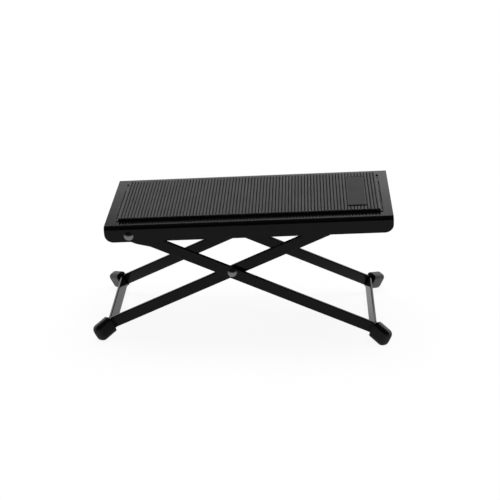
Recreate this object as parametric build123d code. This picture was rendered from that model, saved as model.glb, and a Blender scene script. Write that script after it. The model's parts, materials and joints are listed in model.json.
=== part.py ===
from build123d import *
from math import asin, atan2, cos, degrees, radians, sin, sqrt
import os

# Folding guitar footrest. Millimetres, +Z up, +X from the hinged end to the open end, +Y to the back.
# Two U-shaped strip-steel frames cross at riveted pivots. The outer frame is riveted to the flanges
# of a bent-sheet tread. The inner frame carries a rod that locks in a notched rack under the tread.

# Tread
TREAD_LENGTH = 280.9
TREAD_DEPTH = 123.5
TREAD_SHEET = 1.5
TREAD_HEIGHT = 16.3          # top surface to the flanges' lower edge
TREAD_BEND = 3.9             # outer radius of the long bends
FLANGE_CORNER = 8.5          # rounded lower corners of the flanges
PIVOT_INSET = 23.6           # tread rivet, from the hinged end
PIVOT_DROP = 10.2            # tread rivet, below the top surface

# Strip-steel leg frames
STRIP_WIDTH = 12.0
STRIP_THICKNESS = 2.5
STRIP_EDGE = 0.4             # broken edge of the strip
STRIP_BEND = 2.6             # centreline radius of the 45 degree bends at the foot ears
EAR_SLIT = 0.6               # slit left inside the doubled strip of a foot ear
EAR_REACH = 14.0             # foot ear, beyond the frame's outer corner
OUTER_UP = 108.9             # outer frame: cross pivot to tread rivet
OUTER_DOWN = 155.5           # outer frame: cross pivot to the crossbar's outer face
JOGGLE_STEP = 5.8            # outer frame: the upper ends step out to the flanges
JOGGLE_FLAT = 9.5            # outer frame: straight end beside the flange
JOGGLE_END = 24.0            # outer frame: where the joggle meets the straight leg
JOGGLE_BEND = 8.0
INNER_UP = 120.0             # inner frame: cross pivot to locking rod
INNER_DOWN = 138.9           # inner frame: cross pivot to the crossbar's outer face

# Pivots
PIN_RADIUS = 3.0
PIN_CLEARANCE = 0.05         # radial running clearance
FACE_GAP = 0.05              # side play on each face of a pivot
DOME_HEIGHT = 2.2
TREAD_DOME_RADIUS = 4.75
CROSS_DOME_RADIUS = 4.6
TAIL_RADIUS = 4.4
TAIL_HEIGHT = 1.5
WASHER_RADIUS = 6.0
TREAD_WASHER = 0.8
CROSS_WASHER = 1.4

# Locking rod and rack
ROD_RADIUS = 3.0
ROD_STAND_OUT = 0.5          # peened rod end, proud of the inner frame
RACK_SHEET = 2.0
RACK_TAB = 8.0
RACK_INSET = 5.0             # rack web, inside the inner frame's legs
ROD_LEVEL = -0.54            # rod above the tread rivets' level, in the stored pose
RACK_CREST = 3.3             # lower edge of the rack, above the tread rivets' level
RACK_NOTCHES = 5             # height settings, from the stored pose to the highest
RACK_END = 27.0              # plain rack beyond the last notch, over the folded rod
RACK_CORNER = 2.0
NOTCH_RADIUS = 3.2

# Rubber mat
MAT_HINGED_MARGIN = 9.65     # bare tread at the mat's hinged end
MAT_OPEN_MARGIN = 8.65       # bare tread at its open end
MAT_FRONT_MARGIN = 14.2      # bare tread in front of the mat
MAT_BACK_MARGIN = 11.8       # bare tread behind it
MAT_LIP = 0.6                # plain border strip at each end, held by the pins
MAT_BASE = 2.0               # under the grooves between the ribs
MAT_CORNER = 2.8             # rounded corners of the border strips
MAT_BORDER = 3.2             # width of a border strip
RIB_PITCH = 3.216
RIB_WIDTH = 2.1
RIB_SIDE = 0.7               # straight flank of a rib, above the base
RIB_CROWN = 0.5              # rise of the rounded crown
PANEL_PITCHES = 6            # smooth panel: rib pitches along the tread
PANEL_RIBS = 4               # ribs between the panel and the mat's open end
PANEL_FRONT = 11.5           # ribs in front of the panel
PANEL_BACK = 13.6            # ribs behind it
PANEL_GAP = 1.0              # groove between the panel and the ribs
MAT_PIN_INSET = 1.75         # pin, from the mat's end
MAT_PIN_BACK = 5.7           # pin, from the mat's back edge
MAT_PIN_RADIUS = 0.9
MAT_PIN_HEAD = 1.3
MAT_PIN_RISE = 0.7
MAT_PIN_TAIL = 1.0

# Rubber feet
FOOT_LENGTH = 20.0
FOOT_WIDTH = 11.7
FOOT_HEIGHT = 17.8
FOOT_SETBACK = 0.3           # foot mouth, beyond the frame's outer corner
FOOT_EDGE = 3.3              # long edges
FOOT_TIP = 5.4               # rounding of the closed end
FOOT_LIP = 0.6               # rim of the mouth
MOUTH_DEPTH = 3.0
MOUTH_MARGIN = 0.6
FOOT_FLAT = 0.6              # height of the flat ground on each foot, where it stands

# Stored pose and travel
OUTER_ANGLE = 23.2           # outer frame to the floor
RAISE_ANGLE = 16.0           # opening of the outer frame from the stored pose to the highest setting

# Derived sizes
FLANGE_INNER = TREAD_DEPTH / 2 - TREAD_SHEET
JOGGLE_FACE = FLANGE_INNER - TREAD_WASHER - 2 * FACE_GAP
OUTER_HALF = JOGGLE_FACE - JOGGLE_STEP
INNER_HALF = OUTER_HALF - STRIP_THICKNESS - CROSS_WASHER - 2 * FACE_GAP
RACK_HALF = INNER_HALF - STRIP_THICKNESS - RACK_INSET
EAR_OFFSET = (STRIP_THICKNESS + EAR_SLIT) / 2
EAR_HALF = EAR_OFFSET + STRIP_THICKNESS / 2
MAT_TOP = MAT_BASE + RIB_SIDE + RIB_CROWN
SHEET_UNDER = PIVOT_DROP - TREAD_SHEET
HINGED_END = -PIVOT_INSET
OPEN_END = TREAD_LENGTH - PIVOT_INSET
MAT_START = HINGED_END + MAT_HINGED_MARGIN
MAT_LENGTH = OPEN_END - MAT_OPEN_MARGIN - MAT_START
MAT_FRONT = MAT_FRONT_MARGIN - TREAD_DEPTH / 2
MAT_BACK = TREAD_DEPTH / 2 - MAT_BACK_MARGIN
MAT_DEPTH = MAT_BACK - MAT_FRONT
MAT_PIN_Y = MAT_BACK - MAT_PIN_BACK


def cylinder_y(x, z, radius, y_from, y_to):
    """A cylinder along Y through (x, z)."""
    plane = Plane(origin=(x, y_from, z), z_dir=(0, 1, 0))
    return extrude(plane * Circle(radius), amount=y_to - y_from)


def dome_y(x, z, radius, height, y):
    """A rivet dome standing towards -Y from the face at y."""
    ball = (radius**2 + height**2) / (2 * height)
    profile = make_face([
        Line((0, 0), (0, height)),
        ThreePointArc((0, height), (ball * sin(asin(radius / ball) / 2),
                                    height - ball * (1 - cos(asin(radius / ball) / 2))), (radius, 0)),
        Line((radius, 0), (0, 0)),
    ])
    dome = revolve(profile, Axis.Y)
    return Pos(x, y, z) * Rot(180, 0, 0) * dome


def mirrored_y(shape):
    """The same piece on the back side of the footrest."""
    return mirror(shape, about=Plane.XZ)


# The tread's pieces have their origin on the tread rivets' axis, X along the tread, Z out of its top.
def make_tread():
    """Sheet with two long bends, rounded flange corners, and holes for the rivets and mat pins."""
    outer = Pos(0, PIVOT_DROP - TREAD_HEIGHT / 2) * Rectangle(TREAD_DEPTH, TREAD_HEIGHT)
    outer = fillet(outer.vertices().group_by(Axis.Y)[-1], TREAD_BEND)
    inner = Pos(0, SHEET_UNDER - TREAD_HEIGHT / 2) * Rectangle(2 * FLANGE_INNER, TREAD_HEIGHT)
    inner = fillet(inner.vertices().group_by(Axis.Y)[-1], TREAD_BEND - TREAD_SHEET)
    section = outer - inner
    tread = extrude(Plane(origin=(HINGED_END, 0, 0), x_dir=(0, 1, 0), z_dir=(1, 0, 0)) * section,
                    amount=TREAD_LENGTH)
    corners = tread.edges().filter_by(Axis.Y).group_by(Axis.Z)[0]
    tread = fillet(corners, FLANGE_CORNER)
    tread -= cylinder_y(0, 0, PIN_RADIUS, -TREAD_DEPTH, TREAD_DEPTH)
    for x in mat_pin_places():
        tread -= Pos(x, MAT_PIN_Y, SHEET_UNDER) * Cylinder(MAT_PIN_RADIUS, 4 * TREAD_SHEET)
    return tread


def mat_pin_places():
    """The two mat pins' places along the tread."""
    return MAT_START + MAT_PIN_INSET, MAT_START + MAT_LENGTH - MAT_PIN_INSET


def make_mat():
    """Ribbed mat: one long section of rounded ribs between thin borders, with a smooth flush panel."""
    first = MAT_START + MAT_BORDER
    count = int((MAT_LENGTH - 2 * MAT_BORDER - RIB_WIDTH) / RIB_PITCH) + 1
    first += (MAT_LENGTH - 2 * MAT_BORDER - RIB_WIDTH - (count - 1) * RIB_PITCH) / 2
    low, high = MAT_BASE, MAT_BASE + RIB_SIDE
    edges = [Line((MAT_START, 0), (MAT_START, MAT_LIP)), Line((MAT_START, MAT_LIP), (first, MAT_LIP)),
             Line((first, MAT_LIP), (first, high))]
    for i in range(count):
        left = first + i * RIB_PITCH
        right = left + RIB_WIDTH
        edges += ThreePointArc((left, high), (left + RIB_WIDTH / 2, high + RIB_CROWN), (right, high)).edges()
        if i < count - 1:
            following = left + RIB_PITCH
            edges += [Line((right, high), (right, low)), Line((right, low), (following, low)),
                      Line((following, low), (following, high))]
    end = MAT_START + MAT_LENGTH
    edges += [Line((right, high), (right, MAT_LIP)), Line((right, MAT_LIP), (end, MAT_LIP)),
              Line((end, MAT_LIP), (end, 0)), Line((end, 0), (MAT_START, 0))]
    plane = Plane(origin=(0, MAT_BACK, PIVOT_DROP), x_dir=(1, 0, 0), z_dir=(0, -1, 0))
    mat = extrude(plane * make_face(edges), amount=MAT_DEPTH)
    upright = mat.edges().filter_by(Axis.Z).sort_by(Axis.X)
    mat = fillet([*upright[:2], *upright[-2:]], MAT_CORNER)
    right = first + (count - PANEL_RIBS) * RIB_PITCH - (RIB_PITCH - RIB_WIDTH)
    left = right - PANEL_PITCHES * RIB_PITCH + (RIB_PITCH - RIB_WIDTH)
    front, back = MAT_FRONT + PANEL_FRONT, MAT_BACK - PANEL_BACK
    corner = (Align.MIN, Align.MIN, Align.MIN)
    groove = Box(right - left, back - front + 2 * PANEL_GAP, MAT_TOP, align=corner)
    mat -= Pos(left, front - PANEL_GAP, PIVOT_DROP + MAT_BASE) * groove
    panel = Box(right - left, back - front, MAT_TOP - MAT_BASE / 2, align=corner)
    mat += Pos(left, front, PIVOT_DROP + MAT_BASE / 2) * panel
    for x in mat_pin_places():
        mat -= Pos(x, MAT_PIN_Y, PIVOT_DROP) * Cylinder(MAT_PIN_RADIUS, 4 * MAT_LIP)
    return mat


def make_mat_pin(x):
    """Headed pin through the mat's border and the tread, spread below the sheet."""
    top = PIVOT_DROP + MAT_LIP
    shank = Cylinder(MAT_PIN_RADIUS, top - SHEET_UNDER, align=(Align.CENTER, Align.CENTER, Align.MIN))
    head = Cylinder(MAT_PIN_HEAD, MAT_PIN_RISE, align=(Align.CENTER, Align.CENTER, Align.MIN))
    head = chamfer(head.edges().group_by(Axis.Z)[-1], MAT_PIN_RISE / 2)
    tail = Cylinder(MAT_PIN_HEAD, MAT_PIN_TAIL, align=(Align.CENTER, Align.CENTER, Align.MAX))
    return Pos(x, MAT_PIN_Y, 0) * (Pos(0, 0, SHEET_UNDER) * shank + Pos(0, 0, top) * head
                                       + Pos(0, 0, SHEET_UNDER) * tail)


def rod_reach(outer, inner):
    """The rod's distance along the tread from the tread rivets, with both frames at these angles to it."""
    return OUTER_UP * cos(radians(outer)) + INNER_UP * cos(radians(inner))


def make_rack(first, last):
    """Front rack rail: an angle of sheet under the tread, with round notches in its lower edge.

    first and last are the rod's places at the highest and at the lowest setting.
    """
    pitch = (last - first) / (RACK_NOTCHES - 1)
    start, end = first - pitch, last + RACK_END
    depth = SHEET_UNDER - RACK_CREST
    web = Pos((start + end) / 2, RACK_CREST + depth / 2) * Rectangle(end - start, depth)
    web = fillet(web.vertices().group_by(Axis.Y)[0], RACK_CORNER)
    for i in range(RACK_NOTCHES):
        web -= Pos(first + i * pitch, RACK_CREST) * Circle(NOTCH_RADIUS)
    plane = Plane(origin=(0, -RACK_HALF, 0), x_dir=(1, 0, 0), z_dir=(0, -1, 0))
    rail = extrude(plane * web, amount=-RACK_SHEET)
    tab = Box(end - start, RACK_TAB, RACK_SHEET * 3 / 4, align=(Align.MIN, Align.MIN, Align.MAX))
    return rail + Pos(start, -RACK_HALF, SHEET_UNDER) * tab


def make_tread_rivet():
    """Front tread rivet: domed head on the flange, tail behind the outer frame's joggled end."""
    tail_face = JOGGLE_FACE - STRIP_THICKNESS - FACE_GAP
    rivet = dome_y(0, 0, TREAD_DOME_RADIUS, DOME_HEIGHT, -TREAD_DEPTH / 2)
    rivet += cylinder_y(0, 0, PIN_RADIUS, -TREAD_DEPTH / 2, -tail_face)
    return rivet + make_tail(tail_face)


def make_tail(face):
    """Upset rivet tail, from the face at -face towards the middle."""
    tail = cylinder_y(0, 0, TAIL_RADIUS, -face, -face + TAIL_HEIGHT)
    return chamfer(tail.edges().group_by(Axis.Y)[-1], TAIL_HEIGHT / 3)


def make_washer(y_from, thickness):
    """Flat washer with a running clearance on its pin."""
    ring = cylinder_y(0, 0, WASHER_RADIUS, y_from, y_from + thickness)
    return ring - cylinder_y(0, 0, PIN_RADIUS + PIN_CLEARANCE, y_from, y_from + thickness)


# The leg frames have their origin on the cross pivots' axis, X towards the feet, Y across.
def half_frame(down, half, up, face):
    """One leg, one foot ear and half the crossbar, as one strip swept along its bent centreline.

    The strip runs along the crossbar, turns out at 45 degrees, folds back on itself to form the
    foot ear, and returns to run up the leg. face is the outside face of the leg's upper end.
    """
    bar_x = down - STRIP_THICKNESS / 2
    leg_y = half - STRIP_THICKNESS / 2
    end_y = face - STRIP_THICKNESS / 2
    corner = Vector(bar_x, leg_y)
    out = Vector(1, 1).normalized()
    side = Vector(1, -1).normalized()
    tip = corner + out * (EAR_REACH + STRIP_THICKNESS / 2 * sqrt(2) - EAR_HALF)
    bar_bend = Vector(bar_x, leg_y - sqrt(2) * EAR_OFFSET)
    leg_bend = Vector(bar_x - sqrt(2) * EAR_OFFSET, leg_y)
    lower = FilletPolyline(Vector(bar_x, 0), bar_bend, tip + side * EAR_OFFSET, radius=STRIP_BEND)
    hairpin = ThreePointArc(tip + side * EAR_OFFSET, tip + out * EAR_OFFSET, tip - side * EAR_OFFSET)
    leg = FilletPolyline(tip - side * EAR_OFFSET, leg_bend, Vector(-up / 2, leg_y), radius=STRIP_BEND)
    edges = [*lower.edges(), *hairpin.edges(), *leg.edges()]
    if end_y > leg_y:
        edges += FilletPolyline(Vector(-up / 2, leg_y), Vector(JOGGLE_END - up, leg_y),
                                Vector(JOGGLE_FLAT - up, end_y), Vector(-up, end_y),
                                radius=JOGGLE_BEND).edges()
    else:
        edges += Line(Vector(-up / 2, leg_y), Vector(-up, end_y)).edges()
    path = Wire(edges)
    section = chamfer(Rectangle(STRIP_THICKNESS, STRIP_WIDTH).vertices(), STRIP_EDGE)
    start = Plane(origin=(bar_x, 0, 0), x_dir=(1, 0, 0), z_dir=(0, 1, 0))
    strip = sweep(start * section, path=path)
    eye = cylinder_y(-up, 0, STRIP_WIDTH / 2, face - STRIP_THICKNESS, face)
    return strip + eye


def make_frame(down, half, up, face, pivot_radius, end_radius):
    """Both legs of a frame and the crossbar between them, drilled for its pivots."""
    back = half_frame(down, half, up, face)
    frame = back + mirrored_y(back)
    frame -= cylinder_y(0, 0, pivot_radius, -TREAD_DEPTH, TREAD_DEPTH)
    frame -= cylinder_y(-up, 0, end_radius, -TREAD_DEPTH, TREAD_DEPTH)
    return frame


def make_cross_rivet():
    """Front cross rivet: domed head outside the outer frame, tail inside the inner frame."""
    tail_face = INNER_HALF - STRIP_THICKNESS - FACE_GAP
    rivet = dome_y(0, 0, CROSS_DOME_RADIUS, DOME_HEIGHT, -OUTER_HALF)
    rivet += cylinder_y(0, 0, PIN_RADIUS, -OUTER_HALF, -tail_face)
    return rivet + make_tail(tail_face)


def make_rod():
    """Locking rod across the inner frame's upper ends, peened at both ends."""
    end = INNER_HALF + ROD_STAND_OUT
    rod = cylinder_y(INNER_UP, 0, ROD_RADIUS, -end, end)
    return chamfer(rod.edges().filter_by(GeomType.CIRCLE), ROD_STAND_OUT)


def make_foot():
    """Rubber boot in its own frame: mouth at X = 0, closed tip towards +X."""
    plan = Pos(FOOT_LENGTH / 2, 0) * Rectangle(FOOT_LENGTH, FOOT_WIDTH)
    side = Pos(FOOT_LENGTH / 2, 0) * Rectangle(FOOT_LENGTH, FOOT_HEIGHT)
    plan = fillet(plan.vertices().group_by(Axis.X)[-1], FOOT_TIP)
    side = fillet(side.vertices().group_by(Axis.X)[-1], FOOT_TIP)
    end = fillet(Rectangle(FOOT_WIDTH, FOOT_HEIGHT).vertices(), FOOT_EDGE)
    foot = extrude(Plane.XY * plan, amount=FOOT_HEIGHT, both=True)
    foot &= extrude(Plane.XZ * side, amount=FOOT_HEIGHT, both=True)
    foot &= extrude(Plane.YZ * end, amount=FOOT_LENGTH)
    foot = chamfer(foot.faces().sort_by(Axis.X)[0].outer_wire().edges(), FOOT_LIP)
    reach = EAR_REACH - FOOT_SETBACK
    socket = Box(reach - EAR_HALF, 2 * EAR_HALF, STRIP_WIDTH, align=(Align.MIN, Align.CENTER, Align.CENTER))
    socket += Pos(reach - EAR_HALF, 0, 0) * Cylinder(EAR_HALF, STRIP_WIDTH)
    mouth = Box(MOUTH_DEPTH, 2 * (EAR_HALF + MOUTH_MARGIN), STRIP_WIDTH + 2 * MOUTH_MARGIN,
                align=(Align.MIN, Align.CENTER, Align.CENTER))
    return foot - socket - mouth


def foot_on_frame(foot, down, half):
    """The back foot of a frame, in the frame's own coordinates."""
    corner = Vector(down, half) + Vector(1, 1).normalized() * FOOT_SETBACK
    return Pos(corner.X, corner.Y, 0) * Rot(0, 0, 45) * foot


def foot_drop(foot, angle):
    """How far a foot's lowest point lies below its mouth's middle, on a frame at this angle."""
    return -(Rot(0, angle, 0) * Rot(0, 0, 45) * foot).bounding_box().min.Z


# Stored pose
foot = make_foot()
setback = FOOT_SETBACK / sqrt(2)
cross_height = ((OUTER_DOWN + setback) * sin(radians(OUTER_ANGLE))
                + foot_drop(foot, OUTER_ANGLE) - FOOT_FLAT)
inner_angle = OUTER_ANGLE
for _ in range(6):
    rise = cross_height + FOOT_FLAT - foot_drop(foot, inner_angle)
    inner_angle = degrees(asin(rise / (INNER_DOWN + setback)))

outer_place = Pos(0, 0, cross_height) * Rot(0, OUTER_ANGLE, 0)
inner_place = Pos(0, 0, cross_height) * Rot(0, -inner_angle, 0)
span = (inner_place * Pos(INNER_UP, 0, 0)).position - (outer_place * Pos(-OUTER_UP, 0, 0)).position
tread_tilt = degrees(atan2(span.Z, span.X) - asin(ROD_LEVEL / span.length))
tread_place = outer_place * Pos(-OUTER_UP, 0, 0) * Rot(0, -OUTER_ANGLE - tread_tilt, 0)
flip = Plane.YZ

outer_frame = make_frame(OUTER_DOWN, OUTER_HALF, OUTER_UP, JOGGLE_FACE, PIN_RADIUS,
                         PIN_RADIUS + PIN_CLEARANCE)
inner_frame = mirror(make_frame(INNER_DOWN, INNER_HALF, INNER_UP, INNER_HALF,
                                PIN_RADIUS + PIN_CLEARANCE, ROD_RADIUS), about=flip)
outer_foot = foot_on_frame(foot, OUTER_DOWN, OUTER_HALF)
inner_foot = mirror(foot_on_frame(foot, INNER_DOWN, INNER_HALF), about=flip)
rest_outer = OUTER_ANGLE + tread_tilt
rest_inner = inner_angle - tread_tilt
fold_ratio = rest_inner / rest_outer
rack = make_rack(rod_reach(rest_outer + RAISE_ANGLE, rest_inner + RAISE_ANGLE * fold_ratio),
                 rod_reach(rest_outer, rest_inner))
tread_rivet = make_tread_rivet()
tread_washer = make_washer(-FLANGE_INNER + FACE_GAP, TREAD_WASHER)
cross_rivet = make_cross_rivet()
cross_washer = make_washer(-OUTER_HALF + STRIP_THICKNESS + FACE_GAP, CROSS_WASHER)
pin_left, pin_right = mat_pin_places()

pieces = {
    "tread_plate": tread_place * make_tread(),
    "rubber_mat": tread_place * make_mat(),
    "mat_pin_left": tread_place * make_mat_pin(pin_left),
    "mat_pin_right": tread_place * make_mat_pin(pin_right),
    "rack_rail_front": tread_place * rack,
    "rack_rail_rear": tread_place * mirrored_y(rack),
    "tread_rivet_front": tread_place * tread_rivet,
    "tread_rivet_rear": tread_place * mirrored_y(tread_rivet),
    "tread_washer_front": tread_place * tread_washer,
    "tread_washer_rear": tread_place * mirrored_y(tread_washer),
    "outer_leg_frame": outer_place * outer_frame,
    "cross_rivet_front": outer_place * cross_rivet,
    "cross_rivet_rear": outer_place * mirrored_y(cross_rivet),
    "cross_washer_front": outer_place * cross_washer,
    "cross_washer_rear": outer_place * mirrored_y(cross_washer),
    "inner_leg_frame": inner_place * inner_frame,
    "lock_rod": inner_place * make_rod(),
    "foot_rear_right": outer_place * outer_foot,
    "foot_front_right": outer_place * mirrored_y(outer_foot),
    "foot_rear_left": inner_place * inner_foot,
    "foot_front_left": inner_place * mirrored_y(inner_foot),
}

# The feet stand on small flats in one plane, the floor at Z = 0.
ground = Box(4 * TREAD_LENGTH, 4 * TREAD_LENGTH, FOOT_LENGTH, align=(Align.CENTER, Align.CENTER, Align.MAX))
for name in pieces:
    if name.startswith("foot_"):
        pieces[name] = pieces[name] - ground

# Origin: the middle of the footrest's outline on the floor.
box = Compound(children=[piece.solid() for piece in pieces.values()]).bounding_box()
shift = Pos(-(box.min.X + box.max.X) / 2, -(box.min.Y + box.max.Y) / 2, 0)

os.makedirs("parts", exist_ok=True)
for name, piece in pieces.items():
    export_step(shift * piece.solid(), f"parts/{name}.step")

# Places a parent model needs: pivot axes, rod, floor and tread, in the stored pose.
tread_axis = shift * tread_place
print("tread pivot", tread_axis.position, "tread angle", tread_axis.orientation.Y)
print("cross pivot", (shift * outer_place).position, "inner angle", inner_angle)
print("rod", (shift * inner_place * Pos(INNER_UP, 0, 0)).position)
print("fold ratio", fold_ratio)
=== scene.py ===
"""Looks of a folding guitar footrest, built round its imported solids.

The footrest is a ribbed rubber mat on a bent sheet-steel tread, two crossed frames of flat strip
steel on riveted pivots, and a rubber boot on each foot corner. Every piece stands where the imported
model says, in metres.
"""

from __future__ import annotations

import json
import logging
import math
from contextlib import contextmanager
from dataclasses import dataclass, field, replace
from enum import Enum
from typing import Callable, Iterable, Iterator

import bmesh
import bpy
from mathutils import Matrix, Vector

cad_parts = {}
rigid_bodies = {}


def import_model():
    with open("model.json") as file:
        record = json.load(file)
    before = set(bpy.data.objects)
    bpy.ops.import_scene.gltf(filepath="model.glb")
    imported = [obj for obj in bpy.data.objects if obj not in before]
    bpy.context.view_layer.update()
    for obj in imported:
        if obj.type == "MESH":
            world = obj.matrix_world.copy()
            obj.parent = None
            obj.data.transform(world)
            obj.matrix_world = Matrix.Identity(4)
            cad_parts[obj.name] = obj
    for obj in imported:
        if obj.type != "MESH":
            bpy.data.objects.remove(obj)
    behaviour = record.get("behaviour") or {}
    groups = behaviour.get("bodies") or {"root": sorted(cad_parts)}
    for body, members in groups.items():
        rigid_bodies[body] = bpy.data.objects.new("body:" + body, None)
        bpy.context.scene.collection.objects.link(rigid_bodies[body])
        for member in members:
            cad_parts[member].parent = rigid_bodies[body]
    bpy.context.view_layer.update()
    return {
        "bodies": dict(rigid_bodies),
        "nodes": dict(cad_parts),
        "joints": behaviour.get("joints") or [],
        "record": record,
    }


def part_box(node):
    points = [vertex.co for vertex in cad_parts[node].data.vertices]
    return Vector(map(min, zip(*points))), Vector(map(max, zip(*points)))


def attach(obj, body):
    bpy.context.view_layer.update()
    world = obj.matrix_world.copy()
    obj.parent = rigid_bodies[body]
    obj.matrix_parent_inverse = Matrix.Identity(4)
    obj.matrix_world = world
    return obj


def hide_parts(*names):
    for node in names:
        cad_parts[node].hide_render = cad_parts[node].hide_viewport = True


LOG = logging.getLogger("footrest")
MM = 0.001
NEAR = 0.01 * MM  # places closer than this are one place
FACING = 0.9  # a face looks along an axis if its normal's part there is larger than this
ASIDE = 0.1  # and it looks aside if that part is smaller than this
PHOTO_PIXELS = 500
SENSOR_MM = 36.0


class Body(Enum):
    """The bodies of the folding mechanism."""

    TREAD = "tread"
    OUTER = "outer_frame"
    INNER = "inner_frame"


class Slot(Enum):
    """The record's material slots."""

    POWDER_COAT = "powder_coat"
    MAT_RUBBER = "mat_rubber"
    FOOT_RUBBER = "foot_rubber"
    RIVET_STEEL = "rivet_steel"
    ROD_STEEL = "rod_steel"
    NYLON = "washer_nylon"


class Side(Enum):
    """The two sides of the footrest, by their direction across the tread."""

    FRONT = -1.0
    REAR = 1.0


class Element(Enum):
    """What a modelling step picks in edit mode."""

    FACE = "FACE"
    EDGE = "EDGE"


# Colours and nodes


def linear(hex_colour: str) -> tuple[float, float, float, float]:
    """Turns an sRGB hex colour to the linear values that a socket takes.

    Args:
        hex_colour: A colour such as "#1a1a1a".

    Returns:
        Linear red, green, blue and an alpha of 1.
    """
    channels = [int(hex_colour[i : i + 2], 16) / 255 for i in (1, 3, 5)]
    values = [c / 12.92 if c <= 0.04045 else ((c + 0.055) / 1.055) ** 2.4 for c in channels]
    return values[0], values[1], values[2], 1.0


def add_node(
    tree: bpy.types.NodeTree,
    kind: str,
    settings: dict[str, object] | None = None,
    inputs: dict[str | int, object] | None = None,
    links: dict[str | int, bpy.types.NodeSocket] | None = None,
) -> bpy.types.Node:
    """Adds a node with its settings, its socket values and its links.

    Args:
        tree: The node tree.
        kind: The node's type name.
        settings: Properties of the node.
        inputs: Values of its input sockets, by name or number.
        links: Output sockets that feed its input sockets, by name or number.

    Returns:
        The new node.
    """
    node = tree.nodes.new(kind)
    for name, value in (settings or {}).items():
        setattr(node, name, value)
    for name, value in (inputs or {}).items():
        node.inputs[name].default_value = value
    for name, socket in (links or {}).items():
        tree.links.new(socket, node.inputs[name])
    return node


def per_mm(size_mm: float) -> float:
    """The texture scale at which one cell of a noise is size_mm wide on Object coordinates."""
    return 1.0 / (size_mm * MM)


# Finishes


@dataclass(frozen=True)
class Finish:
    """A surface finish: a base colour, its gloss, and a fine grain in its relief and gloss.

    grain_mm is the width of one grain of the relief and relief_mm its height. cloud_mm is the
    width of the soft patches in which colour and gloss drift. dust_mm is the width of the specks
    of dust, which lie where a noise is above dust_levels. The details are the noises' octaves.
    """

    name: str
    slot: Slot
    colour: str
    colour_drift: str
    roughness: float
    roughness_drift: float
    grain_mm: float
    relief_mm: float
    cloud_mm: float
    metallic: float = 0.0
    specular: float = 0.5
    dust_colour: str = ""
    dust_mm: float = 1.0
    dust_share: float = 0.0
    dust_levels: tuple[float, float] = (0.58, 0.72)
    cloud_detail: float = 3.0
    grain_detail: float = 2.0
    dust_detail: float = 4.0
    noise_roughness: float = 0.55

    def material(self) -> bpy.types.Material:
        """Makes the finish's node material, or returns the one made before.

        Returns:
            The material.
        """
        known = bpy.data.materials.get(self.name)
        if known is not None:
            return known
        made = bpy.data.materials.new(self.name)
        made.use_nodes = True
        tree = made.node_tree
        tree.nodes.clear()
        place = add_node(tree, "ShaderNodeTexCoord").outputs["Object"]
        cloud, grain = (
            add_node(
                tree,
                "ShaderNodeTexNoise",
                {},
                {"Scale": per_mm(size_mm), "Detail": detail, "Roughness": self.noise_roughness},
                {"Vector": place},
            ).outputs["Fac"]
            for size_mm, detail in ((self.cloud_mm, self.cloud_detail), (self.grain_mm, self.grain_detail))
        )
        colour = add_node(
            tree,
            "ShaderNodeMix",
            {"data_type": "RGBA"},
            {"A": linear(self.colour), "B": linear(self.colour_drift)},
            {"Factor": cloud},
        ).outputs["Result"]
        if self.dust_share > 0:
            colour = self._dusted(tree, place, colour)
        drift = self.roughness_drift
        gloss = add_node(
            tree,
            "ShaderNodeMapRange",
            {},
            {"To Min": self.roughness - drift, "To Max": self.roughness + drift},
            {"Value": cloud},
        ).outputs["Result"]
        relief = add_node(
            tree, "ShaderNodeBump", {}, {"Strength": 1.0, "Distance": self.relief_mm * MM}, {"Height": grain}
        ).outputs["Normal"]
        shader = add_node(
            tree,
            "ShaderNodeBsdfPrincipled",
            {},
            {"Metallic": self.metallic, "Specular IOR Level": self.specular},
            {"Base Color": colour, "Roughness": gloss, "Normal": relief},
        )
        add_node(tree, "ShaderNodeOutputMaterial", {}, {}, {"Surface": shader.outputs["BSDF"]})
        return made

    def _dusted(
        self, tree: bpy.types.NodeTree, place: bpy.types.NodeSocket, colour: bpy.types.NodeSocket
    ) -> bpy.types.NodeSocket:
        """Lays fine pale dust over a colour, where a noise peaks.

        Args:
            tree: The node tree.
            place: The Object coordinates.
            colour: The clean colour.

        Returns:
            The dusted colour.
        """
        speck = add_node(
            tree,
            "ShaderNodeTexNoise",
            {},
            {"Scale": per_mm(self.dust_mm), "Detail": self.dust_detail, "Roughness": self.noise_roughness},
            {"Vector": place},
        ).outputs["Fac"]
        start, end = self.dust_levels
        where = add_node(
            tree,
            "ShaderNodeMapRange",
            {},
            {"From Min": start, "From Max": end, "To Max": self.dust_share},
            {"Value": speck},
        ).outputs["Result"]
        return add_node(
            tree,
            "ShaderNodeMix",
            {"data_type": "RGBA"},
            {"B": linear(self.dust_colour)},
            {"Factor": where, "A": colour},
        ).outputs["Result"]

    def dress(self, piece: bpy.types.Object) -> None:
        """Gives a piece this finish alone."""
        piece.data.materials.clear()
        piece.data.materials.append(self.material())

    def dress_faces(self, piece: bpy.types.Object, faces: Iterable[int]) -> None:
        """Gives this finish to some faces of a piece that has its main finish.

        Args:
            piece: The piece.
            faces: The numbers of the faces.
        """
        piece.data.materials.append(self.material())
        for face in faces:
            piece.data.polygons[face].material_index = len(piece.data.materials) - 1


# Satin black polyester powder coat on steel: sprayed as powder and baked, so the eye sees a soft
# sheen at low angles and a fine orange peel, about half a millimetre wide, close up.
POWDER_COAT = Finish(
    "satin_powder_coat",
    Slot.POWDER_COAT,
    colour="#060606",
    colour_drift="#090909",
    roughness=0.16,
    roughness_drift=0.02,
    grain_mm=0.6,
    relief_mm=0.010,
    cloud_mm=18.0,
    specular=0.26,
)

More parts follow.
